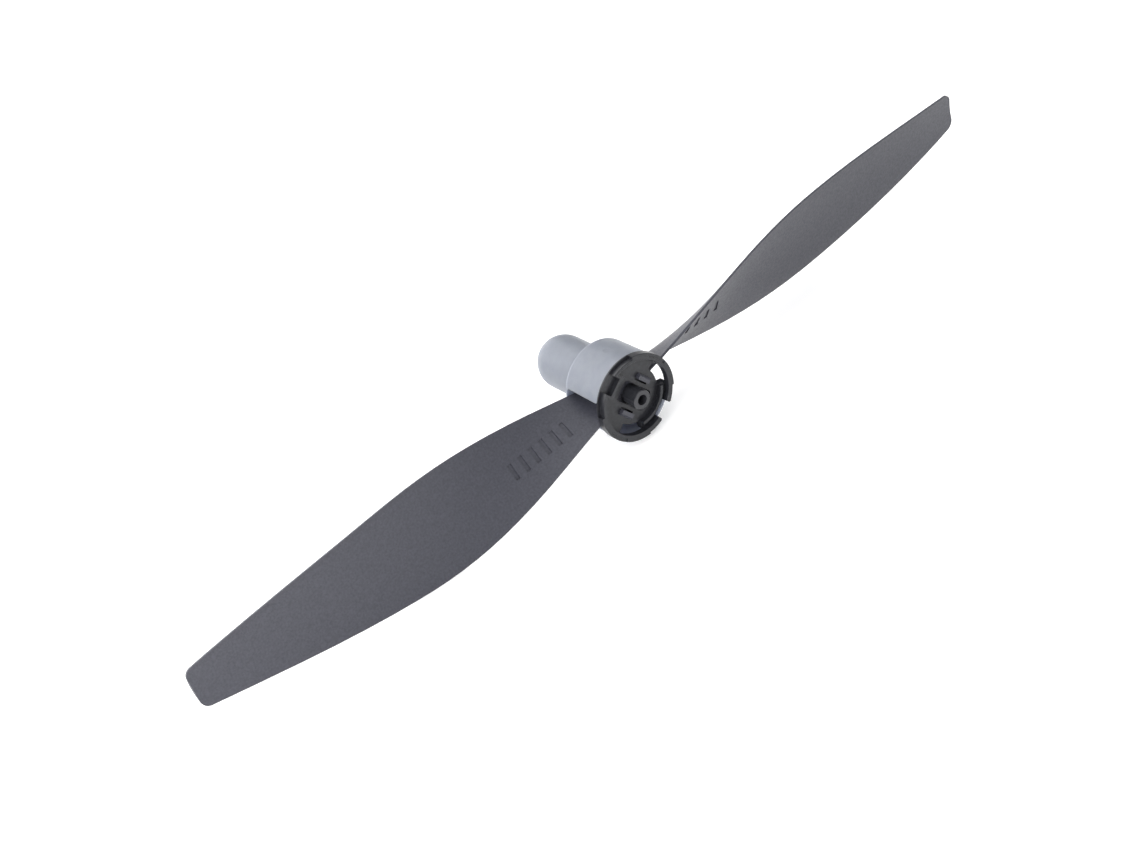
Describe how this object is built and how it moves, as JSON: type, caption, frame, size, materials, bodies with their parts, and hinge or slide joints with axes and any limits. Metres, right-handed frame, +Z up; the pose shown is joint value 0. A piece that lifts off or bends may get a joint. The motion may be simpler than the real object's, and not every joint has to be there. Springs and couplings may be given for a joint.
{
  "type": "model aircraft propeller with spinner",
  "caption": "Two-blade propeller for a small model aeroplane, with a clip-on back plate, a keyed shaft bush and a pull-off translucent spinner.",
  "frame": {"origin": "on the axis of rotation, in the plane of the back plate's rear face, inside the shaft bore", "axes": "+Y along the shaft bore towards the spinner's nose, +X along one blade, +Z up"},
  "size_m": [0.13, 0.0191, 0.0132],
  "materials": {
    "blade_plastic": "fine-grained matt moulded nylon, dark blue grey",
    "bush_plastic": "satin moulded nylon, near black",
    "plate_plastic": "satin moulded nylon, near black",
    "spinner_plastic": "milky translucent glossy polypropylene, cool grey"
  },
  "bodies": {
    "hub": {"propeller": "blade_plastic", "shaft_bush": "bush_plastic", "back_plate": "plate_plastic"},
    "spinner": {"spinner": "spinner_plastic"}
  },
  "joints": [
    {"name": "spinner_pull_off", "type": "slide", "parent": "hub", "child": "spinner", "axis": [0, 1, 0], "range_m": [0, 0.012]}
  ]
}
